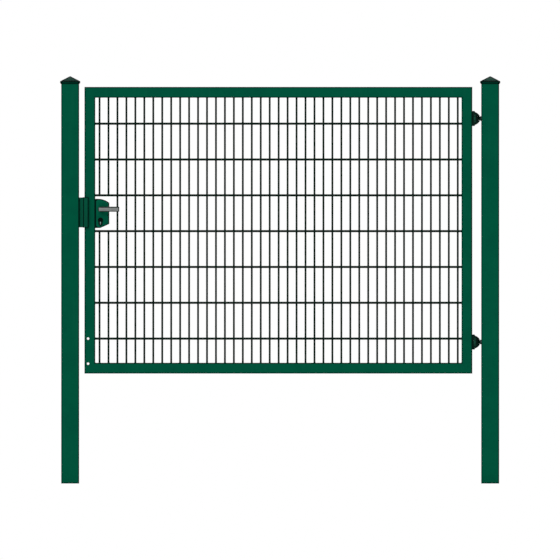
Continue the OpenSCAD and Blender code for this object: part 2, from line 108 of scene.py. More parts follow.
def markFaces(piece, test):  # selects the faces whose centre and normal pass the test
    mesh = bmesh.from_edit_mesh(piece.data)
    bpy.ops.mesh.select_all(action="DESELECT")
    for face in mesh.faces:
        if test(face.calc_center_median(), face.normal):
            face.select_set(True)
    bmesh.update_edit_mesh(piece.data)


def markEdges(piece, test):  # selects the edges whose middle and direction pass the test
    mesh = bmesh.from_edit_mesh(piece.data)
    bpy.ops.mesh.select_all(action="DESELECT")
    for edge in mesh.edges:
        first, second = edge.verts[0].co, edge.verts[1].co
        if test((first + second) / 2, (second - first).normalized()):
            edge.select_set(True)
    bmesh.update_edit_mesh(piece.data)


def pull(step):  # extrudes what is selected
    bpy.ops.mesh.extrude_region_move(TRANSFORM_OT_translate={"value": tuple(step)})


def squeeze(factor, centre):  # scales what is selected about a point
    bpy.ops.transform.resize(value=tuple(factor), center_override=tuple(centre))


def applyModifier(piece, kind, **settings):
    pick(piece)
    modifier = piece.modifiers.new(kind.lower(), kind)
    for key, value in settings.items():
        setattr(modifier, key, value)
    bpy.ops.object.modifier_apply(modifier=modifier.name)
    return piece


def softenEdges(piece, width, segments=2, angle=30):
    return applyModifier(piece, "BEVEL", width=width, segments=segments, limit_method="ANGLE",
                         angle_limit=math.radians(angle), use_clamp_overlap=True)


def smooth(piece, angle=35):  # clears slivers, then shades smooth up to an angle
    openPiece(piece, "EDGE")
    bpy.ops.mesh.select_all(action="SELECT")
    bpy.ops.mesh.dissolve_degenerate(threshold=0.001 * mm)
    closePiece()
    pick(piece)
    bpy.ops.object.shade_smooth_by_angle(angle=math.radians(angle))
    return piece


def cutWith(piece, tool, operation="DIFFERENCE"):
    applyModifier(piece, "BOOLEAN", object=tool, operation=operation, solver="MANIFOLD")
    bpy.data.objects.remove(tool)
    return piece


def boreThrough(piece, start, end, radius, sides=40):  # a round hole, right through the piece
    start, end = Vector(start), Vector(end)
    reach = (end - start).normalized() * past
    return cutWith(piece, rod("bore", start - reach, end + reach, radius, sides))


def repeat(piece, count, step):
    return applyModifier(piece, "ARRAY", count=count, use_relative_offset=False,
                         use_constant_offset=True, constant_offset_displace=step)


def copyOf(source, name):  # a copy with its own mesh
    source.hide_set(False)
    pick(source)
    bpy.ops.object.duplicate(linked=False)
    piece = bpy.context.object
    piece.name = name
    piece.parent = None
    for key in [key for key in piece.keys() if key.startswith("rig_")]:
        del piece[key]
    return piece


def copyAt(source, name, shift, turn):
    piece = copyOf(source, name)
    piece.rotation_euler = [math.radians(angle) for angle in turn]
    piece.location = shift
    return settle(piece)


def rearCopy(source, name):  # mirrored across the middle plane of the gate
    piece = copyOf(source, name)
    piece.scale = (1, -1, 1)
    settle(piece)
    openPiece(piece)
    bpy.ops.mesh.select_all(action="SELECT")
    bpy.ops.mesh.normals_make_consistent(inside=False)
    closePiece()
    return piece


def cleanCopy(node, name, width, segments=2):  # a node's shape with its edges broken
    piece = copyOf(nodes[node], name)
    piece.data.materials.clear()
    openPiece(piece, "EDGE")
    bpy.ops.mesh.select_all(action="SELECT")
    bpy.ops.mesh.customdata_custom_splitnormals_clear()
    bpy.ops.mesh.remove_doubles(threshold=0.005 * mm)
    bpy.ops.mesh.dissolve_limited(angle_limit=math.radians(0.5))
    closePiece()
    softenEdges(piece, width, segments)
    return smooth(piece)


def joined(name, pieces):
    pick(*pieces)
    bpy.ops.object.join()
    piece = bpy.context.object
    piece.name = name
    return piece


def fit(piece, body, slot, material, *replaced):  # finish, material slot and body of a piece
    piece.data.materials.clear()
    piece.data.materials.append(material)
    piece.data.name = piece.name
    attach(piece, body)
    if replaced:
        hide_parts(*replaced)
    return piece


def fitCopy(node, name, body, slot, material, width, segments=2):  # a softened copy stands for the node
    return fit(cleanCopy(node, name, width, segments), body, slot, material, node)


def dress(node, material):  # a better material on a node that keeps its shape
    nodes[node].material_slots[0].material = material


# Nodes of a material

def tone(red, green, blue):  # a screen colour as Blender's linear one
    parts = [value / 255 for value in (red, green, blue)]
    return tuple(p / 12.92 if p <= 0.04045 else ((p + 0.055) / 1.055) ** 2.4 for p in parts) + (1,)


def addNode(tree, kind, at, **settings):
    node = tree.nodes.new(kind)
    node.location = at
    for key, value in settings.items():
        setattr(node, key, value)
    return node


def feed(tree, socket, value):  # a number or colour is set, another node's output is linked
    if isinstance(value, (int, float, tuple)):
        socket.default_value = value
    elif value is not None:
        tree.links.new(value, socket)


def mathNode(tree, operation, first, second, at, clamp=False):
    node = addNode(tree, "ShaderNodeMath", at, operation=operation, use_clamp=clamp)
    feed(tree, node.inputs[0], first)
    feed(tree, node.inputs[1], second)
    return node.outputs[0]


def vectorNode(tree, operation, first, second, at):
    node = addNode(tree, "ShaderNodeVectorMath", at, operation=operation)
    feed(tree, node.inputs[0], first)
    feed(tree, node.inputs[1], second)
    return node.outputs["Value" if operation in ("DOT_PRODUCT", "LENGTH") else "Vector"]


def noiseNode(tree, vector, scale, at, detail, roughness=0.5):
    node = addNode(tree, "ShaderNodeTexNoise", at)
    for label, value in (("Vector", vector), ("Scale", scale), ("Detail", detail), ("Roughness", roughness)):
        feed(tree, node.inputs[label], value)
    return node.outputs["Fac"]


def mappingNode(tree, vector, at, turn=(0, 0, 0), scale=(1, 1, 1)):
    node = addNode(tree, "ShaderNodeMapping", at)
    for label, value in (("Vector", vector), ("Rotation", turn), ("Scale", scale)):
        feed(tree, node.inputs[label], value)
    return node.outputs[0]


def spread(tree, value, low, high, at, fromLow=0.0, fromHigh=1.0):  # a range stretched to another
    node = addNode(tree, "ShaderNodeMapRange", at, clamp=True)
    for label, number in (("From Min", fromLow), ("From Max", fromHigh), ("To Min", low), ("To Max", high)):
        node.inputs[label].default_value = number
    tree.links.new(value, node.inputs["Value"])
    return node.outputs[0]


def blendColour(tree, share, first, second, at):
    node = addNode(tree, "ShaderNodeMix", at, data_type="RGBA", clamp_factor=True)
    for socket, value in ((node.inputs[0], share), (node.inputs[6], first), (node.inputs[7], second)):
        feed(tree, socket, value)
    return node.outputs[2]


# Effects that several finishes share, each a node group

def newGroup(name, inputs, outputs):
    tree = bpy.data.node_groups.new(name, "ShaderNodeTree")
    for label, value in {"Coordinates": (0, 0, 0), **inputs}.items():
        kind = "NodeSocketVector" if isinstance(value, tuple) else "NodeSocketFloat"
        tree.interface.new_socket(name=label, in_out="INPUT", socket_type=kind).default_value = value
    for label in outputs:
        tree.interface.new_socket(name=label, in_out="OUTPUT", socket_type="NodeSocketFloat")
    given = addNode(tree, "NodeGroupInput", (-900, 0))
    result = addNode(tree, "NodeGroupOutput", (900, 0))
    return tree, given.outputs, result.inputs


def boxDepth(tree, given):  # how far a point lies outside each pair of a box's faces, below 0 inside
    away = vectorNode(tree, "SUBTRACT", given["Coordinates"], given["Centre"], (-700, 0))
    reach = vectorNode(tree, "ABSOLUTE", away, None, (-540, 0))
    depth = vectorNode(tree, "SUBTRACT", reach, given["Half"], (-380, 0))
    parts = addNode(tree, "ShaderNodeSeparateXYZ", (-220, 0))
    tree.links.new(depth, parts.inputs[0])
    return parts.outputs


def fadeFrom(tree, distance, width):  # 1 where the distance is 0, and 0 from one width on
    reach = mathNode(tree, "ABSOLUTE", distance, None, (-40, 0))
    share = mathNode(tree, "DIVIDE", reach, width, (120, 0))
    return mathNode(tree, "SUBTRACT", 1, share, (280, 0), clamp=True)


def buildEdgeShade():  # 1 along the edges of a box, 0 a little way in from them
    tree, given, result = newGroup(
        "edgeShade", {"Centre": (0, 0, 0), "Half": (1, 1, 1), "Width": 5 * mm}, ["Edge"])
    depth = boxDepth(tree, given)
    near = []
    for i in range(3):  # how near the point is to each pair of faces
        share = mathNode(tree, "DIVIDE", depth[i], given["Width"], (-60, -160 * i))
        near.append(mathNode(tree, "ADD", share, 1, (100, -160 * i), clamp=True))
    lesser = mathNode(tree, "MINIMUM", near[0], near[1], (260, 0))
    greater = mathNode(tree, "MAXIMUM", near[0], near[1], (260, -160))
    middle = mathNode(tree, "MINIMUM", greater, near[2], (420, -160))
    feed(tree, result["Edge"], mathNode(tree, "MAXIMUM", lesser, middle, (580, 0)))
    return tree


def buildPatchShade():  # 1 inside a box, fading to 0 at its sides
    tree, given, result = newGroup(
        "patchShade", {"Centre": (0, 0, 0), "Half": (1, 1, 1), "Fade": 2 * mm}, ["Patch"])
    depth = boxDepth(tree, given)
    most = mathNode(tree, "MAXIMUM", depth[0], depth[1], (-60, 0))
    most = mathNode(tree, "MAXIMUM", most, depth[2], (100, 0))
    share = mathNode(tree, "DIVIDE", most, given["Fade"], (260, 0))
    feed(tree, result["Patch"], mathNode(tree, "MULTIPLY", share, -1, (420, 0), clamp=True))
    return tree


def buildLineShade():  # 1 along the line where a surface meets a plane, 0 a little way off
    tree, given, result = newGroup(
        "lineShade", {"Facing": (1, 0, 0), "Offset": 0, "Width": 3 * mm}, ["Line"])
    along = vectorNode(tree, "DOT_PRODUCT", given["Coordinates"], given["Facing"], (-400, 0))
    away = mathNode(tree, "SUBTRACT", along, given["Offset"], (-200, 0))
    feed(tree, result["Line"], fadeFrom(tree, away, given["Width"]))
    return tree


def buildRingShade():  # 1 along a circle drawn on the front, 0 a little way off
    tree, given, result = newGroup(
        "ringShade", {"Centre": (0, 0, 0), "Radius": 10 * mm, "Width": 3 * mm}, ["Ring"])
    away = vectorNode(tree, "SUBTRACT", given["Coordinates"], given["Centre"], (-700, 0))
    flat = vectorNode(tree, "MULTIPLY", away, (1, 0, 1), (-540, 0))
    far = vectorNode(tree, "LENGTH", flat, None, (-380, 0))
    off = mathNode(tree, "SUBTRACT", far, given["Radius"], (-200, 0))
    feed(tree, result["Ring"], fadeFrom(tree, off, given["Width"]))
    return tree


grainShape = {"peelScale": 260, "peelShare": 0.6, "streakScale": (45, 45, 2.2)}


def buildCoatGrain():  # orange peel, slow mottling and rain streaks of a powder coat
    tree, given, result = newGroup(
        "coatGrain", {"Grain": 900, "Mottle": 9}, ["Height", "Mottling", "Streaks"])
    where = given["Coordinates"]
    fine = noiseNode(tree, where, given["Grain"], (-500, 200), detail=2)
    peel = noiseNode(tree, where, grainShape["peelScale"], (-500, 0), detail=1)
    peel = mathNode(tree, "MULTIPLY", peel, grainShape["peelShare"], (-300, 0))
    feed(tree, result["Height"], mathNode(tree, "ADD", fine, peel, (-100, 100)))
    mottling = noiseNode(tree, where, given["Mottle"], (-500, -200), detail=4, roughness=0.6)
    feed(tree, result["Mottling"], mottling)
    stretched = mappingNode(tree, where, (-700, -400), scale=grainShape["streakScale"])
    feed(tree, result["Streaks"], noiseNode(tree, stretched, 1, (-500, -400), detail=3))
    return tree


markShape = {"scratchTurn": (0.5, 0.9, 0.3), "scratchStretch": (14, 1, 1), "scratches": (0.6, 0.68),
             "patches": (0.5, 0.72)}


def buildHandlingMarks():  # short fine scratches and worn patches
    tree, given, result = newGroup(
        "handlingMarks", {"Size": 60, "Amount": 0.4}, ["Scratches", "Patches"])
    where = given["Coordinates"]
    turned = mappingNode(tree, where, (-700, 200), markShape["scratchTurn"], markShape["scratchStretch"])
    lines = noiseNode(tree, turned, given["Size"], (-500, 200), detail=5, roughness=0.7)
    lines = spread(tree, lines, 0.0, 1.0, (-100, 200), *markShape["scratches"])
    areas = noiseNode(tree, where, given["Size"], (-500, -100), detail=4, roughness=0.65)
    areas = spread(tree, areas, 0.0, 1.0, (-100, -100), *markShape["patches"])
    for label, value, height in (("Scratches", lines, 200), ("Patches", areas, -100)):
        feed(tree, result[label], mathNode(tree, "MULTIPLY", value, given["Amount"], (300, height)))
    return tree


def buildBrushing():  # fine parallel lines along one direction, and a haze over them
    tree, given, result = newGroup("brushing", {"Across": (1, 1, 1), "Haze size": 55}, ["Lines", "Haze"])
    where = given["Coordinates"]
    scaled = vectorNode(tree, "MULTIPLY", where, given["Across"], (-600, 0))
    feed(tree, result["Lines"], noiseNode(tree, scaled, 1, (-300, 100), detail=3))
    feed(tree, result["Haze"], noiseNode(tree, where, given["Haze size"], (-300, -100), detail=4))
    return tree


edgeShade, lineShade, ringShade = buildEdgeShade(), buildLineShade(), buildRingShade()
patchShade, coatGrain = buildPatchShade(), buildCoatGrain()
handlingMarks, brushing = buildHandlingMarks(), buildBrushing()
print("shared effects built")


# Finishes

def groupNode(tree, group, at, **values):
    node = addNode(tree, "ShaderNodeGroup", at)
    node.node_tree = group
    place = tree.nodes.get("Texture Coordinate") or addNode(tree, "ShaderNodeTexCoord", (-1400, 0))
    tree.links.new(place.outputs["Object"], node.inputs["Coordinates"])
    for key, value in values.items():
        node.inputs[key].default_value = value
    return node


def newFinish(name, roughness, metallic=0.0, specular=0.5, ior=1.5, tint=(1, 1, 1, 1)):
    material = bpy.data.materials.new(name)
    material.use_nodes = True
    shader = material.node_tree.nodes["Principled BSDF"]
    for label, value in (("Roughness", roughness), ("Metallic", metallic), ("Specular IOR Level", specular),
                         ("Specular Tint", tint), ("IOR", ior)):
        shader.inputs[label].default_value = value
    return material, material.node_tree, shader


def addBump(tree, shader, height, distance, strength):
    bump = addNode(tree, "ShaderNodeBump", (-200, -500))
    bump.inputs["Distance"].default_value = distance
    bump.inputs["Strength"].default_value = strength
    tree.links.new(height, bump.inputs["Height"])
    tree.links.new(bump.outputs["Normal"], shader.inputs["Normal"])


def patchMask(tree, patches, fade):  # boxes given by their low and high corners
    mask = None
    for i, (low, high) in enumerate(patches):
        low, high, height = Vector(low), Vector(high), 700 + 180 * i
        patch = groupNode(tree, patchShade, (-1100, height), Centre=(low + high) / 2,
                          Half=(high - low) / 2, Fade=fade).outputs["Patch"]
        mask = patch if mask is None else mathNode(tree, "MAXIMUM", mask, patch, (-920, height))
    return mask


def shadeRimMask(tree, low, high, width, lines=(), rings=()):  # painted shade mask: edges of a box, planes and circles
    low, high = Vector(low), Vector(high)
    edge = groupNode(tree, edgeShade, (-1100, 300), Centre=(low + high) / 2, Half=(high - low) / 2,
                     Width=width)
    mask = edge.outputs["Edge"]
    for i, (facing, point, reach) in enumerate(lines):
        facing = Vector(facing).normalized()
        line = groupNode(tree, lineShade, (-1100, 500 + 180 * i), Facing=facing,
                         Offset=facing.dot(Vector(point)), Width=reach)
        mask = mathNode(tree, "MAXIMUM", mask, line.outputs["Line"], (-900, 500 + 180 * i))
    for i, (middle, radius, reach) in enumerate(rings):
        ring = groupNode(tree, ringShade, (-1300, 500 + 180 * i), Centre=middle, Radius=radius, Width=reach)
        mask = mathNode(tree, "MAXIMUM", mask, ring.outputs["Ring"], (-700, 500 + 180 * i))
    return mask


# edge paints shade: a dark band along every edge of a part's box, where rounded corners turn from the light;
# the two keys after it give the band's width and fade
greenCoat = {"colour": tone(0, 79, 56), "deep": tone(0, 73, 53), "mottling": (0.42, 0.75),
             "dust": tone(22, 86, 68), "dustShare": 0.2, "streaks": (0.55, 0.8),
             "edge": tone(2, 35, 26), "shadeEdgeWidth": 8 * mm, "shadeEdgeFade": (0.1, 0.5),
             "roughness": 0.5, "smoother": 0.07, "rougher": 0.1, "specular": 0.05, "ior": 1.4,
             "tint": (0.3, 1, 0.9, 1), "bumpDepth": 0.25 * mm, "bump": 0.35}


def coatFinish(name, low, high, look=greenCoat, lines=(), rings=()):
    material, tree, shader = newFinish(name, look["roughness"], specular=look["specular"],
                                       ior=look["ior"], tint=look["tint"])
    grain = groupNode(tree, coatGrain, (-1100, 0))
    edge = shadeRimMask(tree, low, high, look["shadeEdgeWidth"], lines, rings)
    mottling = spread(tree, grain.outputs["Mottling"], 0.0, 1.0, (-900, 100), *look["mottling"])
    colour = blendColour(tree, mottling, look["colour"], look["deep"], (-700, 200))
    streaks = spread(tree, grain.outputs["Streaks"], 0.0, look["dustShare"], (-900, -100), *look["streaks"])
    colour = blendColour(tree, streaks, colour, look["dust"], (-500, 200))
    # painted shade: the colour darkens towards edge along the box's edges, lines and rings
    rim = spread(tree, edge, 0.0, 1.0, (-500, 400), *look["shadeEdgeFade"])
    colour = blendColour(tree, rim, colour, look["edge"], (-300, 200))
    tree.links.new(colour, shader.inputs["Base Color"])
    rough = spread(tree, grain.outputs["Mottling"], look["roughness"] - look["smoother"],
                   look["roughness"] + look["rougher"], (-500, -100))
    tree.links.new(rough, shader.inputs["Roughness"])
    addBump(tree, shader, grain.outputs["Height"], look["bumpDepth"], look["bump"])
    return material


metalLook = {"haze": (0.35, 0.75), "shadeRimFade": (0.07, 0.36), "markSize": 70, "smoother": 0.1,
             "lineRough": 0.22, "bumpDepth": 0.08 * mm, "bump": 0.3}


def metalFinish(name, colour, dull, roughness, across, marks=0.3, rim=None, dark=None):
    material, tree, shader = newFinish(name, roughness, metallic=1.0)
    lines = groupNode(tree, brushing, (-1100, 0), Across=across)
    worn = groupNode(tree, handlingMarks, (-1100, 300), Size=metalLook["markSize"], Amount=marks)
    haze = spread(tree, lines.outputs["Haze"], 0.0, 1.0, (-900, 0), *metalLook["haze"])
    base = blendColour(tree, haze, colour, dull, (-600, 200))
    base = blendColour(tree, worn.outputs["Scratches"], base, dull, (-400, 200))
    if rim:  # painted shade: darker towards its edges
        low, high, width, shade = rim
        edge = spread(tree, shadeRimMask(tree, low, high, width), 0.0, 1.0, (-600, 500), *metalLook["shadeRimFade"])
        base = blendColour(tree, edge, base, shade, (-250, 300))
    if dark:  # darkened patches: a black finish, and painted shade along edges
        patches, fade, shade = dark
        base = blendColour(tree, patchMask(tree, patches, fade), base, shade, (-100, 300))
    tree.links.new(base, shader.inputs["Base Color"])
    rough = mathNode(tree, "MULTIPLY_ADD", lines.outputs["Lines"], metalLook["lineRough"], (-600, -100))
    rough.node.inputs[2].default_value = roughness - metalLook["smoother"]
    rough = mathNode(tree, "ADD", rough, worn.outputs["Patches"], (-400, -100), clamp=True)
    tree.links.new(rough, shader.inputs["Roughness"])
    addBump(tree, shader, lines.outputs["Lines"], metalLook["bumpDepth"], metalLook["bump"])
    return material


plainLook = {"mottle": 40, "mottling": (0.4, 0.75), "markSize": 90, "marks": 0.35, "wornRough": 0.15,
             "bump": 0.4}


def plainFinish(name, colour, faded, roughness, grain=700, depth=0.15 * mm, specular=0.2):
    material, tree, shader = newFinish(name, roughness, specular=specular)
    coat = groupNode(tree, coatGrain, (-1100, 0), Grain=grain, Mottle=plainLook["mottle"])
    marks = groupNode(tree, handlingMarks, (-1100, 300), Size=plainLook["markSize"],
                      Amount=plainLook["marks"])
    mottling = spread(tree, coat.outputs["Mottling"], 0.0, 1.0, (-900, 0), *plainLook["mottling"])
    base = blendColour(tree, mottling, colour, faded, (-600, 200))
    base = blendColour(tree, marks.outputs["Scratches"], base, faded, (-400, 200))
    tree.links.new(base, shader.inputs["Base Color"])
    rough = spread(tree, marks.outputs["Patches"], roughness, roughness + plainLook["wornRough"],
                   (-600, -100))
    tree.links.new(rough, shader.inputs["Roughness"])
    addBump(tree, shader, coat.outputs["Height"], depth, plainLook["bump"])
    return material


# painted shade: the wires' green coat is painted near-black, far darker than the frame's, so the thin round
# wires read as dark lines
wireCoat = plainFinish("darkGreenWire", tone(4, 20, 14), tone(10, 30, 22), roughness=0.55, specular=0.03)
hingeCoat = plainFinish("blackHinge", tone(0, 19, 14), tone(4, 34, 26), roughness=0.5, specular=0.05)
blackTrim = plainFinish("blackTrim", tone(0, 7, 4), tone(6, 16, 12), roughness=0.5, specular=0.03,
                        grain=900, depth=0.1 * mm)
rubber = plainFinish("blackRubber", tone(14, 14, 14), tone(28, 28, 27), roughness=0.85, specular=0.1,
                     grain=1400, depth=0.2 * mm)
brightSteel = metalFinish("brightSteel", tone(176, 178, 177), tone(142, 145, 144), roughness=0.34,
                          across=(900, 900, 60))
zincSteel = metalFinish("zincSteel", tone(158, 163, 165), tone(122, 127, 129), roughness=0.46,
                        across=(120, 120, 120), marks=0.4)
leverGrey = metalFinish("greyLever", tone(126, 127, 126), tone(112, 113, 112), roughness=0.4,
                        across=(50, 1100, 1100), marks=0.25)
print("finishes mixed")


# Posts and leaf frame: the nodes keep their shape

boltHoles = {"radius": 7 * mm, "inset": 20 * mm, "heights": (55 * mm, 195 * mm), "rim": 3.5 * mm}

for node in ("latch_post", "hinge_post", "hinge_stile", "top_rail", "bottom_rail"):
    dress(node, coatFinish("greenCoat_" + node, *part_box(node)))
stileLow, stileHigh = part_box("latch_stile")
holeX = stileLow.x + boltHoles["inset"]
# painted shade: dark rings, rim wide, round the drop-bolt holes
holeShadeRings = [((holeX, 0, stileLow.z + height), boltHoles["radius"], boltHoles["rim"])
             for height in boltHoles["heights"]]
dress("latch_stile", coatFinish("greenCoat_latch_stile", stileLow, stileHigh, rings=holeShadeRings))

weldBead = {"size": 2.4 * mm, "step": 2.7 * mm, "reach": 16 * mm, "colour": tone(0, 70, 50)}
farAway = 9  # metres, so that no edge of the box of painted edge shade comes near
weldCoat = coatFinish("greenCoat_welds", [-farAway] * 3, [farAway] * 3,
                      dict(greenCoat, colour=weldBead["colour"]))


def makeBead(start, end, size):  # a row of overlapping drops, as a weld lies
    start, end = Vector(start), Vector(end)
    count = round((end - start).length / weldBead["step"])
    bpy.ops.object.select_all(action="DESELECT")
    bpy.ops.mesh.primitive_uv_sphere_add(segments=10, ring_count=6, radius=size, location=start)
    return repeat(settle(bpy.context.object), count + 1, (end - start) / count)


beads = [makeBead((x, -weldBead["reach"], z), (x, weldBead["reach"], z), weldBead["size"])
         for x in (stileHigh.x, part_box("hinge_stile")[0].x)
         for z in (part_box("bottom_rail")[1].z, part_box("top_rail")[0].z)]
fit(smooth(joined("frameCornerWelds", beads), angle=60), "leaf", "green_powder_coat", weldCoat)
print("posts and leaf frame coated")


# Post caps

# hipLine, eavesLine and footLine are widths of painted shade lines; eavesRise lifts the eaves line
capShape = {"bandHeight": 10 * mm, "bandLow": 5 * mm, "skirtInset": 4 * mm, "wall": 2 * mm,
            "roof": 0.2 * mm, "tip": 1.2 * mm, "edge": 0.9 * mm,
            "hipLine": 12 * mm, "eavesLine": 5.2 * mm, "eavesRise": 0.3 * mm, "footLine": 2 * mm}
# edge paints shade: a near-black band along the cap's edges
capLook = dict(greenCoat, colour=tone(0, 49, 36), deep=tone(0, 38, 27), dust=tone(16, 54, 42),
               edge=tone(0, 4, 3), shadeEdgeWidth=4 * mm, roughness=0.6)


def makeCap(name, node):
    low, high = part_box(node)
    middle = (low + high) / 2
    bandLow, bandHigh = low.z + capShape["bandLow"], low.z + capShape["bandLow"] + capShape["bandHeight"]
    half = (high.x - low.x) / 2
    piece = block(name, (low.x, low.y, bandLow), (high.x, high.y, bandHigh))
    openPiece(piece)
    markFaces(piece, lambda centre, normal: normal.z > 0.9)
    pull((0, 0, high.z - bandHigh))  # up to the tip, and drawn together there
    squeeze([capShape["tip"] / half] * 2 + [1], (middle.x, middle.y, high.z))
    markFaces(piece, lambda centre, normal: normal.z < -0.9)
    pull((0, 0, -capShape["skirtInset"]))  # sloping in under the band
    inner = (half - capShape["skirtInset"]) / half
    squeeze((inner, inner, 1), (middle.x, middle.y, low.z))
    pull((0, 0, low.z + capShape["skirtInset"] - bandLow))  # straight skirt
    bpy.ops.mesh.inset(thickness=capShape["wall"])
    pull((0, 0, capShape["bandLow"] - capShape["roof"]))  # hollow that goes over the post
    closePiece()
    softenEdges(piece, capShape["edge"], segments=3)
    smooth(piece)
    # painted shade: dark lines along the hips, at the top of the eave band and at its foot
    lines = [((1, side, 0), middle, capShape["hipLine"]) for side in (-1, 1)]
    lines += [((0, 0, 1), (0, 0, bandHigh + capShape["eavesRise"]), capShape["eavesLine"]),
              ((0, 0, 1), (0, 0, bandLow), capShape["footLine"])]
    fit(piece, "posts", "dark_green_cap", coatFinish("capCoat_" + node, low, high, capLook, lines), node)


makeCap("latchPostCap", "latch_post_cap")
makeCap("hingePostCap", "hinge_post_cap")
print("post caps made")


# Wire mesh: round wires, the welds where they cross, and their feet on the frame

wireMesh = {"pitch": 50 * mm, "firstUpright": 24 * mm, "uprightRadius": 5.5 * mm, "rows": 7,
            "rowPitch": 200 * mm, "firstRow": 135 * mm, "levelRadius": 6.25 * mm, "levelY": 11.15 * mm,
            "sides": 14, "weldSize": (6.2 * mm, 2 * mm, 6.8 * mm), "weldSink": 0.3 * mm,
            "footHeight": 2.4 * mm, "footFlare": 1.3, "footTaper": 0.68, "footSides": 12,
            "cutUprights": 2, "underLock": 3, "overLock": 4}


def wireWithFeet(name, start, end, radius, feet=(True, True)):
    parts = [rod(name, start, end, radius, wireMesh["sides"])]
    along = (Vector(end) - Vector(start)).normalized()
    for place, way, wanted in ((Vector(start), along, feet[0]), (Vector(end), -along, feet[1])):
        if not wanted:
            continue
        top = place + way * wireMesh["footHeight"]
        foot = rod(name + "Foot", place, top, radius * wireMesh["footFlare"], wireMesh["footSides"])
        openPiece(foot)
        markFaces(foot, lambda centre, normal: normal.dot(way) > 0.9)
        squeeze([wireMesh["footTaper"]] * 3, top)
        closePiece()
        parts.append(foot)
    return joined(name, parts)


def makeMeshHalf(name, node, firstX, count, cut):
    low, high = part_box(node)
    pitch, radius = wireMesh["pitch"], wireMesh["uprightRadius"]
    levelRadius, levelY = wireMesh["levelRadius"], wireMesh["levelY"]
    rowZ = [low.z + wireMesh["firstRow"] + k * wireMesh["rowPitch"] for k in range(wireMesh["rows"])]
    under, over = rowZ[wireMesh["underLock"]] + levelRadius, rowZ[wireMesh["overLock"]] - levelRadius
    parts = []
    for i in range(cut):  # the wires beside the stile stop under and over the lock
        x = firstX + i * pitch
        parts.append(wireWithFeet("lowWire", (x, 0, low.z), (x, 0, under), radius, (True, False)))
        parts.append(wireWithFeet("highWire", (x, 0, over), (x, 0, high.z), radius, (False, True)))
    x = firstX + cut * pitch
    upright = wireWithFeet("uprightWire", (x, 0, low.z), (x, 0, high.z), radius)
    parts.append(repeat(upright, count - cut, (pitch, 0, 0)))
    atLatch = cut > 0  # each half's level wires have a foot where they meet their stile
    level = wireWithFeet("levelWire", (low.x, -levelY, rowZ[0]), (high.x, -levelY, rowZ[0]), levelRadius,
                         (atLatch, not atLatch))
    repeat(level, 2, (0, 2 * levelY, 0))
    parts.append(repeat(level, wireMesh["rows"], (0, 0, wireMesh["rowPitch"])))
    bpy.ops.object.select_all(action="DESELECT")
    touch = levelY - levelRadius + wireMesh["weldSink"]
    bpy.ops.mesh.primitive_uv_sphere_add(segments=8, ring_count=5, radius=1,
                                         location=(firstX, -touch, rowZ[0]))
    weld = bpy.context.object
    weld.scale = wireMesh["weldSize"]
    settle(weld)
    repeat(weld, 2, (0, 2 * touch, 0))
    repeat(weld, count, (pitch, 0, 0))
    parts.append(repeat(weld, wireMesh["rows"], (0, 0, wireMesh["rowPitch"])))
    fit(smooth(joined(name, parts), angle=50), "leaf", "dark_green_wire", wireCoat, node)


latchLow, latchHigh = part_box("mesh_latch_half")
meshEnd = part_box("mesh_hinge_half")[1].x
firstX = latchLow.x + wireMesh["firstUpright"]
latchCount = int((latchHigh.x - firstX) / wireMesh["pitch"]) + 1
hingeFirstX = firstX + latchCount * wireMesh["pitch"]
hingeCount = int((meshEnd - hingeFirstX) / wireMesh["pitch"]) + 1
makeMeshHalf("wireMeshLatchHalf", "mesh_latch_half", firstX, latchCount, wireMesh["cutUprights"])
makeMeshHalf("wireMeshHingeHalf", "mesh_hinge_half", hingeFirstX, hingeCount, 0)
print("wire mesh welded:", latchCount + hingeCount, "upright wires")


# Small screws, modelled once for each row and copied

screwShape = {"radius": 4.2 * mm, "height": 2.2 * mm, "round": 0.55, "socket": 4 * mm, "deep": 1.4 * mm}
facings = {"front": ((0, -1, 0), (90, 0, 0)), "rear": ((0, 1, 0), (-90, 0, 0)),
           "left": ((-1, 0, 0), (0, -90, 0)), "right": ((1, 0, 0), (0, 90, 0))}  # way out, and turn


def makeScrew(name, scale):  # a round head with a hex socket, facing up from the origin
    radius, height = screwShape["radius"] * scale, screwShape["height"] * scale
    piece = rod(name, (0, 0, -height), (0, 0, height), radius, sides=28)
    openPiece(piece)
    markFaces(piece, lambda centre, normal: normal.z > 0.9)
    bpy.ops.mesh.bevel(offset=height * screwShape["round"], segments=3, affect="EDGES")
    closePiece()
    socket = rod("socket", (0, 0, height - screwShape["deep"] * scale), (0, 0, height * 2),
                 screwShape["socket"] * scale / math.sqrt(3), sides=6)
    cutWith(piece, socket)
    return smooth(piece, angle=40)


def placeScrews(name, places, facing, scale, sink, body, slot, material):
    out, turn = facings[facing]
    first = makeScrew(name, scale)
    copies = [copyAt(first, name + str(i), Vector(place) - Vector(out) * sink, turn)
              for i, place in enumerate(places)]
    bpy.data.objects.remove(first)
    fit(joined(name, copies), body, slot, material)


# Lock case and its covers

lockLow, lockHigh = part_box("lock_front_cover")
leverLow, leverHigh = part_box("front_lever")
spindleLow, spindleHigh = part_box("lever_spindle")
leverAxis = (spindleLow + spindleHigh) / 2

caseShape = {"level": 15 * mm, "drop": 22.5 * mm, "foot": 28 * mm, "rise": 22.5 * mm, "rim": 7.5 * mm,
             "edge": 0.8 * mm, "screwSide": 7 * mm, "screwEnd": 8 * mm, "screwUnderLever": 34 * mm,
             "screwScale": 0.75, "screwSink": 0.5 * mm}
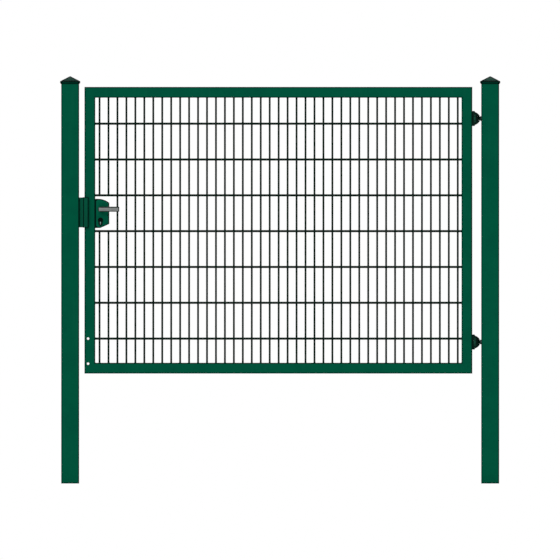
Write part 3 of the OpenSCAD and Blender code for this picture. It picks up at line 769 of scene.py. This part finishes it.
# the coat's colour is lighter than the frame's green: painted light that offsets the lever's shadow on the
# case
caseCoat = dict(greenCoat, colour=tone(0, 87, 62), edge=tone(0, 14, 9), shadeEdgeWidth=caseShape["rim"])
span = lockHigh.x - lockLow.x - caseShape["level"]
archRadius = (span ** 2 + caseShape["drop"] ** 2) / (2 * caseShape["drop"])
archCentre = (lockLow.x + caseShape["level"], 0, lockHigh.z - archRadius)
slope = (caseShape["rise"], 0, caseShape["foot"] - (lockHigh.x - lockLow.x))
# painted shade: a dark outline (edge in caseCoat), rim wide, along the case's edges, its sloping foot and
# its arch
caseShadeLines = [(slope, (lockLow.x + caseShape["foot"], 0, lockLow.z), caseShape["rim"])]
caseShadeRings = [(archCentre, archRadius, caseShape["rim"])]
coverScrews = [(lockLow.x + caseShape["screwSide"], lockHigh.z - caseShape["screwEnd"]),
               (lockLow.x + caseShape["screwSide"], lockLow.z + caseShape["screwEnd"]),
               (lockHigh.x - caseShape["screwEnd"], leverAxis.z - caseShape["screwUnderLever"])]

for node, name, facing, faceY in (("lock_front_cover", "lockFrontCover", "front", lockLow.y),
                                  ("lock_rear_cover", "lockRearCover", "rear", -lockLow.y)):
    finish = coatFinish("greenCoat_" + node, *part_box(node), caseCoat, caseShadeLines, caseShadeRings)
    fitCopy(node, name, "leaf", "green_powder_coat", finish, caseShape["edge"])
    placeScrews(name + "Screws", [(x, faceY, z) for x, z in coverScrews], facing, caseShape["screwScale"],
                caseShape["screwSink"], "leaf", "black_trim", blackTrim)
fitCopy("lock_case", "lockCase", "leaf", "green_powder_coat",
        coatFinish("greenCoat_lock_case", *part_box("lock_case")), caseShape["edge"])


# Cylinder with its escutcheons and key plugs

profile = {"head": 8.5 * mm, "tail": 5 * mm, "border": 2.7 * mm, "fade": 0.8 * mm, "rim": 0.9 * mm,
           "seal": 0.7 * mm, "sealMargin": 0.6 * mm, "headDrop": 1 * mm, "around": 5 * mm,
           "edge": 0.4 * mm, "plugEdge": 0.3 * mm}
bodyLow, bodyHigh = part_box("lock_cylinder")
around = Vector([profile["around"]] * 3)
headX = (bodyLow.x + bodyHigh.x) / 2
headFoot = bodyHigh.z - 2 * profile["head"] - profile["headDrop"]
outerLow, outerHigh = bodyLow - around, bodyHigh + around
blackHeadAndShadedTail = [((outerLow.x, outerLow.y, headFoot), outerHigh)]  # a black head, and painted shade along both sides of the tail
for side in (-1, 1):
    sideX = headX + side * profile["tail"]
    blackHeadAndShadedTail.append(((sideX - profile["border"], outerLow.y, outerLow.z),
                      (sideX + profile["border"], outerHigh.y, headFoot + profile["around"])))
nickel = metalFinish("nickelCylinder", tone(110, 137, 130), tone(90, 115, 108), roughness=0.3,
                     across=(60, 900, 900), marks=0.2,
                     dark=(blackHeadAndShadedTail, profile["fade"], tone(8, 14, 12)))
cylinder = fitCopy("lock_cylinder", "lockCylinder", "leaf", "nickel_cylinder", nickel, profile["edge"])


def sealCylinder(name, node, escutcheon):  # fills the slit between the cylinder and its escutcheon
    low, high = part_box(node)
    middle, margin = (low.y + high.y) / 2, profile["sealMargin"]
    seal = block(name, (bodyLow.x - margin, middle - profile["seal"], bodyLow.z - margin),
                 (bodyHigh.x + margin, middle + profile["seal"], bodyHigh.z + margin))
    for piece in (escutcheon, cylinder):
        cutWith(seal, copyOf(piece, "shape"))
    fit(seal, "leaf", "black_trim", blackTrim)


for side in ("front", "rear"):
    node = side + "_escutcheon"
    escutcheon = fitCopy(node, side + "Escutcheon", "leaf", "black_trim", blackTrim, profile["rim"],
                         segments=3)
    sealCylinder(side + "CylinderSeal", node, escutcheon)
    fitCopy(side + "_key_plug", side + "KeyPlug", "leaf", "black_trim", blackTrim, profile["plugEdge"])


# Levers on their roses

leverShape = {"thick": 12 * mm, "edge": 2.2 * mm, "tipCorner": 4 * mm, "tipFrom": 30 * mm,
              "roundness": 0.995, "neckRadius": 9 * mm, "flares": (1.07, 1.15), "flareStep": 2.5 * mm,
              "neckSink": 3 * mm, "shadeRimWidth": 6.5 * mm, "shadeRimDrop": 1.2 * mm, "roseEdge": 1.3 * mm}
# rim paints shade: a dark band along the grip's edges, as wide as given in leverShape
gripLook = {"colour": tone(120, 123, 122), "dull": tone(106, 109, 108), "rim": tone(26, 33, 31),
            "roughness": 0.42, "across": (50, 1100, 1100), "marks": 0.25}


def makeLever(name):
    low, high = leverLow, leverHigh
    gripBack = low.y + leverShape["thick"]
    grip = block(name, (low.x, low.y, low.z), (high.x, gripBack, high.z))
    openPiece(grip, "EDGE")
    tipX = leverAxis.x + leverShape["tipFrom"]
    markEdges(grip, lambda middle, way: abs(way.y) > 0.9 and middle.x > tipX)
    bpy.ops.mesh.bevel(offset=leverShape["tipCorner"], segments=5, affect="EDGES")
    markEdges(grip, lambda middle, way: abs(way.y) > 0.9 and middle.x < low.x + 1 * mm)
    bpy.ops.mesh.bevel(offset=(high.z - low.z) / 2 * leverShape["roundness"], segments=14, affect="EDGES")
    closePiece()
    softenEdges(grip, leverShape["edge"], segments=4, angle=40)
    step = leverShape["flareStep"]  # the neck flares out towards the grip
    y = gripBack + step * len(leverShape["flares"])
    neck = rod("neck", (leverAxis.x, high.y, leverAxis.z), (leverAxis.x, y, leverAxis.z),
               leverShape["neckRadius"], sides=40)
    openPiece(neck)
    markFaces(neck, lambda centre, normal: normal.y < -0.9)
    for flare in leverShape["flares"]:
        y -= step
        pull((0, -step, 0))
        squeeze([flare] * 3, (leverAxis.x, y, leverAxis.z))
    pull((0, -leverShape["neckSink"], 0))
    closePiece()
    cutWith(grip, neck, "UNION")
    return smooth(grip, angle=40)


frontLever = makeLever("frontLever")
rearLever = rearCopy(frontLever, "rearLever")
for lever, node in ((frontLever, "front_lever"), (rearLever, "rear_lever")):
    # painted shade box, lowered a little so the band is broader at the top of the grip and narrower at its
    # foot
    drop = Vector((0, 0, leverShape["shadeRimDrop"]))
    low, high = (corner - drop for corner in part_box(node))
    finish = metalFinish("greyGrip_" + node, gripLook["colour"], gripLook["dull"], gripLook["roughness"],
                         gripLook["across"], gripLook["marks"],
                         rim=(low, high, leverShape["shadeRimWidth"], gripLook["rim"]))
    fit(lever, "handle", "grey_lever", finish, node)
dress("lever_spindle", zincSteel)
for node, name in (("front_lever_rose", "frontRose"), ("rear_lever_rose", "rearRose")):
    fitCopy(node, name, "leaf", "grey_lever", leverGrey, leverShape["roseEdge"], segments=3)
print("lock dressed")


# Face plate and bolts

plateShape = {"edge": 0.6 * mm, "deadEdge": 0.5 * mm, "latchEdge": 0.8 * mm, "screwEnd": 8 * mm,
              "screwUnderLever": 26 * mm, "screwScale": 0.8, "screwSink": 1.5 * mm}
plateLow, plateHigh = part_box("lock_face_plate")
fitCopy("lock_face_plate", "facePlate", "leaf", "bright_steel", brightSteel, plateShape["edge"])
plateScrews = [(plateLow.x, 0, plateHigh.z - plateShape["screwEnd"]),
               (plateLow.x, 0, plateLow.z + plateShape["screwEnd"]),
               (plateLow.x, 0, leverAxis.z - plateShape["screwUnderLever"])]
placeScrews("facePlateScrews", plateScrews, "left", plateShape["screwScale"], plateShape["screwSink"],
            "leaf", "bright_steel", zincSteel)
fitCopy("dead_bolt", "deadBolt", "leaf", "bright_steel", brightSteel, plateShape["deadEdge"])
fitCopy("latch_bolt", "latchBolt", "latch", "bright_steel", brightSteel, plateShape["latchEdge"],
        segments=3)


# Keep on the latch post, with its strike plate and buffers

keepShape = {"edge": 0.7 * mm, "groove": 24.7 * mm, "grooveLine": 3.8 * mm, "lipRim": 1.5 * mm,
             "lipLine": 6 * mm, "overhang": 1.5 * mm, "topLine": 4 * mm, "footLine": 3 * mm}
# edge paints shade along the keep's edges
keepCoat = dict(greenCoat, colour=tone(4, 76, 55), deep=tone(8, 69, 51), edge=tone(0, 16, 10),
                shadeEdgeWidth=4.5 * mm)
keepLow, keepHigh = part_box("keep_body")
# painted shade: dark lines along the groove, beside the lip, under the top and over the foot; their widths
# are the Line entries of keepShape
keepShadeLines = [((1, 0, 0), (keepLow.x + keepShape["groove"], 0, 0), keepShape["grooveLine"]),
             ((1, 0, 0), (keepHigh.x - keepShape["lipRim"], 0, 0), keepShape["lipLine"]),
             ((0, 0, 1), (0, 0, keepHigh.z - keepShape["overhang"]), keepShape["topLine"]),
             ((0, 0, 1), (0, 0, keepLow.z + keepShape["overhang"]), keepShape["footLine"])]
fitCopy("keep_body", "keepBody", "posts", "green_powder_coat",
        coatFinish("greenCoat_keep", keepLow, keepHigh, keepCoat, keepShadeLines), keepShape["edge"])

strikeShape = {"edge": 0.5 * mm, "face": 3 * mm, "screwY": -3 * mm, "screwLow": 8 * mm,
               "screwHigh": 10 * mm, "screwUnderLever": 26 * mm, "screwScale": 0.8, "screwSink": 1.5 * mm}
strikeLow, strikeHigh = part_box("keep_strike")
fitCopy("keep_strike", "keepStrike", "posts", "bright_steel", brightSteel, strikeShape["edge"])
strikeScrews = [(strikeLow.x + strikeShape["face"], strikeShape["screwY"], z)
                for z in (strikeLow.z + strikeShape["screwLow"],
                          leverAxis.z - strikeShape["screwUnderLever"],
                          strikeHigh.z - strikeShape["screwHigh"])]
placeScrews("strikeScrews", strikeScrews, "right", strikeShape["screwScale"], strikeShape["screwSink"],
            "posts", "bright_steel", zincSteel)

bufferShape = {"edge": 0.3 * mm, "cuts": 6, "grooveRim": 0.3 * mm, "grooveDeep": 0.6 * mm}


def makeBuffer(name, node):
    low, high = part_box(node)
    piece = block(name, low, high)
    openPiece(piece)
    bpy.ops.mesh.select_all(action="SELECT")
    bpy.ops.mesh.subdivide(number_cuts=bufferShape["cuts"])
    step = (high.z - low.z) / (bufferShape["cuts"] + 1)
    markFaces(piece, lambda centre, normal: normal.y > 0.9 and int((centre.z - low.z) / step) % 2 == 1)
    bpy.ops.mesh.inset(thickness=bufferShape["grooveRim"], depth=-bufferShape["grooveDeep"])
    closePiece()
    softenEdges(piece, bufferShape["edge"])
    fit(smooth(piece), "posts", "black_rubber", rubber, node)


makeBuffer("upperBuffer", "keep_upper_buffer")
makeBuffer("lowerBuffer", "keep_lower_buffer")
print("bolts and keep dressed")


# Hinges: bracket on the leaf, eyebolt in the post

linerGreen = plainFinish("linerGreen", tone(24, 68, 55), tone(16, 56, 44), roughness=0.6, specular=0.04,
                         grain=500, depth=0.1 * mm)
nutShape = {"acrossFlats": 24 * mm, "barrel": 13.7 * mm, "chamfer": 1.3 * mm, "bore": 8.1 * mm}
eyeShape = {"edge": 1.2 * mm, "shank": 8 * mm, "neck": 12 * mm, "thread": 1.5 * mm,
            "threadDeep": 0.8 * mm, "pinBore": 7.1 * mm}


def alongShank(node):  # the middles of a node's ends on the shank
    low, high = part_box(node)
    middle = (low + high) / 2
    return Vector((low.x, middle.y, middle.z)), Vector((high.x, middle.y, middle.z))


def pinAxis(pinNode):
    low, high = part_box(pinNode)
    return (low + high) / 2


def makeNut(name, node):
    start, end = alongShank(node)
    piece = rod(name, start, end, nutShape["acrossFlats"] / math.sqrt(3), sides=6)
    barrel = rod("barrel", start, end, nutShape["barrel"], sides=48)
    softenEdges(barrel, nutShape["chamfer"], segments=1)
    cutWith(piece, barrel, "INTERSECT")
    return smooth(boreThrough(piece, start, end, nutShape["bore"]), angle=25)


def makeEyebolt(name, node, pinNode):
    low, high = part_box(node)
    axis = pinAxis(pinNode)
    foot, top = (axis.x, 0, low.z), (axis.x, 0, high.z)
    eye = rod(name, foot, top, axis.x - low.x, sides=56)
    softenEdges(eye, eyeShape["edge"], segments=3)
    x, thread = axis.x + eyeShape["neck"], eyeShape["thread"]
    narrow = 1 - eyeShape["threadDeep"] / eyeShape["shank"]
    shank = rod("shank", (axis.x, 0, axis.z), (x, 0, axis.z), eyeShape["shank"], sides=36)
    openPiece(shank)
    markFaces(shank, lambda centre, normal: normal.x > 0.9)
    while x < high.x - thread:  # thread ridges, one after another
        for factor in (narrow, 1 / narrow):
            x += thread / 2
            pull((thread / 2, 0, 0))
            squeeze((1, factor, factor), (x, 0, axis.z))
    pull((high.x - x, 0, 0))
    closePiece()
    cutWith(eye, shank, "UNION")
    return smooth(boreThrough(eye, foot, top, eyeShape["pinBore"]), angle=30)


sleeveShape = {"long": 5.85 * mm, "radius": 9.9 * mm, "flange": 1.9 * mm, "flangeRadius": 11 * mm,
               "edge": 0.4 * mm, "nutGap": 0.05 * mm}


def makeSleeve(name, nutNode):  # on the shank, from the eye to the lock nut, with a flange
    nutEnd = alongShank(nutNode)[0]
    end = nutEnd - Vector((sleeveShape["nutGap"], 0, 0))
    start, flange = end - Vector((sleeveShape["long"], 0, 0)), end - Vector((sleeveShape["flange"], 0, 0))
    piece = rod(name, start, flange, sleeveShape["radius"], sides=48)
    openPiece(piece)
    markFaces(piece, lambda centre, normal: normal.x > 0.9)
    pull((0, 0, 0))  # a new ring in place, widened into the flange
    squeeze([sleeveShape["flangeRadius"] / sleeveShape["radius"]] * 3, flange)
    pull(end - flange)
    closePiece()
    softenEdges(piece, sleeveShape["edge"])
    return smooth(boreThrough(piece, start, end, nutShape["bore"]), angle=30)


linerShape = {"root": 16 * mm, "reach": 5.5 * mm, "wing": 11 * mm, "wingFront": 8 * mm,
              "sideInset": 0.6 * mm, "edge": 0.15 * mm, "half": 10.27 * mm, "eyeHalf": 10.1 * mm,
              "eyeRoom": 15.1 * mm, "washer": 15.3 * mm, "pinRoom": 7.3 * mm}


def makeLiner(name, node, pinNode):  # a plastic bush round the eye, in the fork of the bracket
    low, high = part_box(node)
    axis = pinAxis(pinNode)
    root, frontY = axis.x - linerShape["root"], low.y + linerShape["sideInset"]
    rearY, wingY = high.y - linerShape["sideInset"], (low.y + high.y) / 2 - linerShape["wingFront"]
    foot, top = axis.z - linerShape["half"], axis.z + linerShape["half"]
    web = block(name, (root, frontY, foot), (root + linerShape["reach"], rearY, top))
    softenEdges(web, linerShape["edge"], segments=1)
    wing = block("wing", (root, frontY, foot), (root + linerShape["wing"], wingY, top))
    softenEdges(wing, linerShape["edge"], segments=1)  # at the front it reaches further round the eye
    cutWith(web, wing, "UNION")
    boreThrough(web, (axis.x, 0, foot), (axis.x, 0, top), linerShape["eyeRoom"], sides=96)
    parts = [web]
    for side in (-1, 1):  # thin washers over and under the eye
        washer = rod("washer", (axis.x, 0, axis.z + side * linerShape["eyeHalf"]),
                     (axis.x, 0, axis.z + side * linerShape["half"]), linerShape["washer"], sides=64)
        boreThrough(washer, (axis.x, 0, foot), (axis.x, 0, top), linerShape["pinRoom"], sides=48)
        parts.append(washer)
    return smooth(joined(name, parts), angle=30)


hingeTrim = {"bracketEdge": 1.1 * mm, "beadSize": 2.1 * mm, "beadInset": 0.4 * mm, "beadEnd": 3 * mm,
             "screwInset": 15.5 * mm, "screwDrop": 17 * mm, "screwScale": 1.25, "screwSink": 0.9 * mm,
             "insertEdge": 0.3 * mm, "pinEdge": 0.8 * mm}

for which in ("upper", "lower"):
    bracket, pin, nut = which + "_hinge_bracket", which + "_hinge_pin", which + "_hinge_nut"
    fitCopy(bracket, which + "HingeBracket", "leaf", "black_hinge", hingeCoat, hingeTrim["bracketEdge"],
            segments=3)
    fit(makeLiner(which + "HingeLiner", bracket, pin), "leaf", "black_hinge", linerGreen)
    bracketLow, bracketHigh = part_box(bracket)
    hingeZ = (bracketLow.z + bracketHigh.z) / 2
    beadX = bracketLow.x + hingeTrim["beadInset"]
    beads = [makeBead((beadX, y, bracketLow.z + hingeTrim["beadEnd"]),
                      (beadX, y, bracketHigh.z - hingeTrim["beadEnd"]), hingeTrim["beadSize"])
             for y in (bracketLow.y, bracketHigh.y)]
    fit(smooth(joined(which + "BracketWelds", beads), angle=60), "leaf", "black_hinge", hingeCoat)
    for facing, faceY in (("front", bracketLow.y), ("rear", bracketHigh.y)):
        places = [(bracketLow.x + hingeTrim["screwInset"], faceY, hingeZ + side * hingeTrim["screwDrop"])
                  for side in (-1, 1)]
        placeScrews(which + "Hinge" + facing.capitalize() + "Screws", places, facing,
                    hingeTrim["screwScale"], hingeTrim["screwSink"], "leaf", "black_hinge", linerGreen)
    eyebolt = which + "_hinge_eyebolt"
    fit(makeEyebolt(which + "Eyebolt", eyebolt, pin), "posts", "black_hinge", hingeCoat, eyebolt)
    fit(makeNut(which + "HingeNut", nut), "posts", "black_hinge", hingeCoat, nut)
    fit(makeSleeve(which + "HingeSleeve", nut), "posts", "black_hinge", hingeCoat)
    fitCopy(which + "_hinge_insert", which + "HingeInsert", "posts", "zinc_steel", zincSteel,
            hingeTrim["insertEdge"])
    fitCopy(pin, which + "HingePin", "leaf", "zinc_steel", zincSteel, hingeTrim["pinEdge"])
print("hinges dressed")


# Floor, light and camera

stageLook = {"floor": tone(244, 244, 243), "floorSize": 160, "sky": 0.28, "softness": 50,
             "frontSun": 2.0, "frontWay": (0.4, 1, -0.9), "rearSun": 1.4, "rearWay": (-0.5, -1, -1)}
cameraPlace = {"away": 6, "left": 1 * mm, "down": 0.8 * mm, "width": 3.1265}


def makeFloor():  # it can be looked through from below
    bpy.ops.object.select_all(action="DESELECT")
    bpy.ops.mesh.primitive_plane_add(size=stageLook["floorSize"], location=(0, 0, 0))
    floor = bpy.context.object
    floor.name = "floor"
    material, tree, shader = newFinish("paleFloor", roughness=0.9, specular=0.0)
    shader.inputs["Base Color"].default_value = stageLook["floor"]
    side = addNode(tree, "ShaderNodeNewGeometry", (-300, 300))
    clear = addNode(tree, "ShaderNodeBsdfTransparent", (-100, 300))
    mix = addNode(tree, "ShaderNodeMixShader", (200, 300))
    for socket, value in zip(mix.inputs, (side.outputs["Backfacing"], shader.outputs[0], clear.outputs[0])):
        tree.links.new(value, socket)
    tree.links.new(mix.outputs[0], tree.nodes["Material Output"].inputs["Surface"])
    floor.data.materials.append(material)


def makeSky():  # white where it is seen, and softer as a light
    world = bpy.data.worlds.new("studio")
    bpy.context.scene.world = world
    world.use_nodes = True
    tree = world.node_tree
    background = tree.nodes["Background"]
    background.inputs["Color"].default_value = (1, 1, 1, 1)
    rays = addNode(tree, "ShaderNodeLightPath", (-900, 0)).outputs
    seen = mathNode(tree, "ADD", rays["Is Camera Ray"], rays["Is Glossy Ray"], (-700, 0), clamp=True)
    seen = mathNode(tree, "ADD", seen, rays["Is Transmission Ray"], (-500, 0), clamp=True)
    tree.links.new(spread(tree, seen, stageLook["sky"], 1.0, (-300, 0)), background.inputs["Strength"])


def addSun(name, direction, strength):
    bpy.ops.object.select_all(action="DESELECT")
    bpy.ops.object.light_add(type="SUN", location=(0, 0, 5),
                             rotation=Vector(direction).to_track_quat("-Z", "Y").to_euler())
    lamp = bpy.context.object
    lamp.name = name
    lamp.data.energy = strength
    lamp.data.angle = math.radians(stageLook["softness"])


makeFloor()
makeSky()
addSun("frontSun", stageLook["frontWay"], stageLook["frontSun"])
addSun("rearSun", stageLook["rearWay"], stageLook["rearSun"])

low, high = cadBox
centre = (low + high) / 2
bpy.ops.object.select_all(action="DESELECT")
bpy.ops.object.camera_add(rotation=(math.radians(90), 0, 0),
                          location=(centre.x - cameraPlace["left"], low.y - cameraPlace["away"],
                                    centre.z - cameraPlace["down"]))
camera = bpy.context.object
camera.data.type = "ORTHO"
camera.data.ortho_scale = cameraPlace["width"]
bpy.context.scene.camera = camera
bpy.context.scene.view_settings.view_transform = "Standard"
print("stage set")
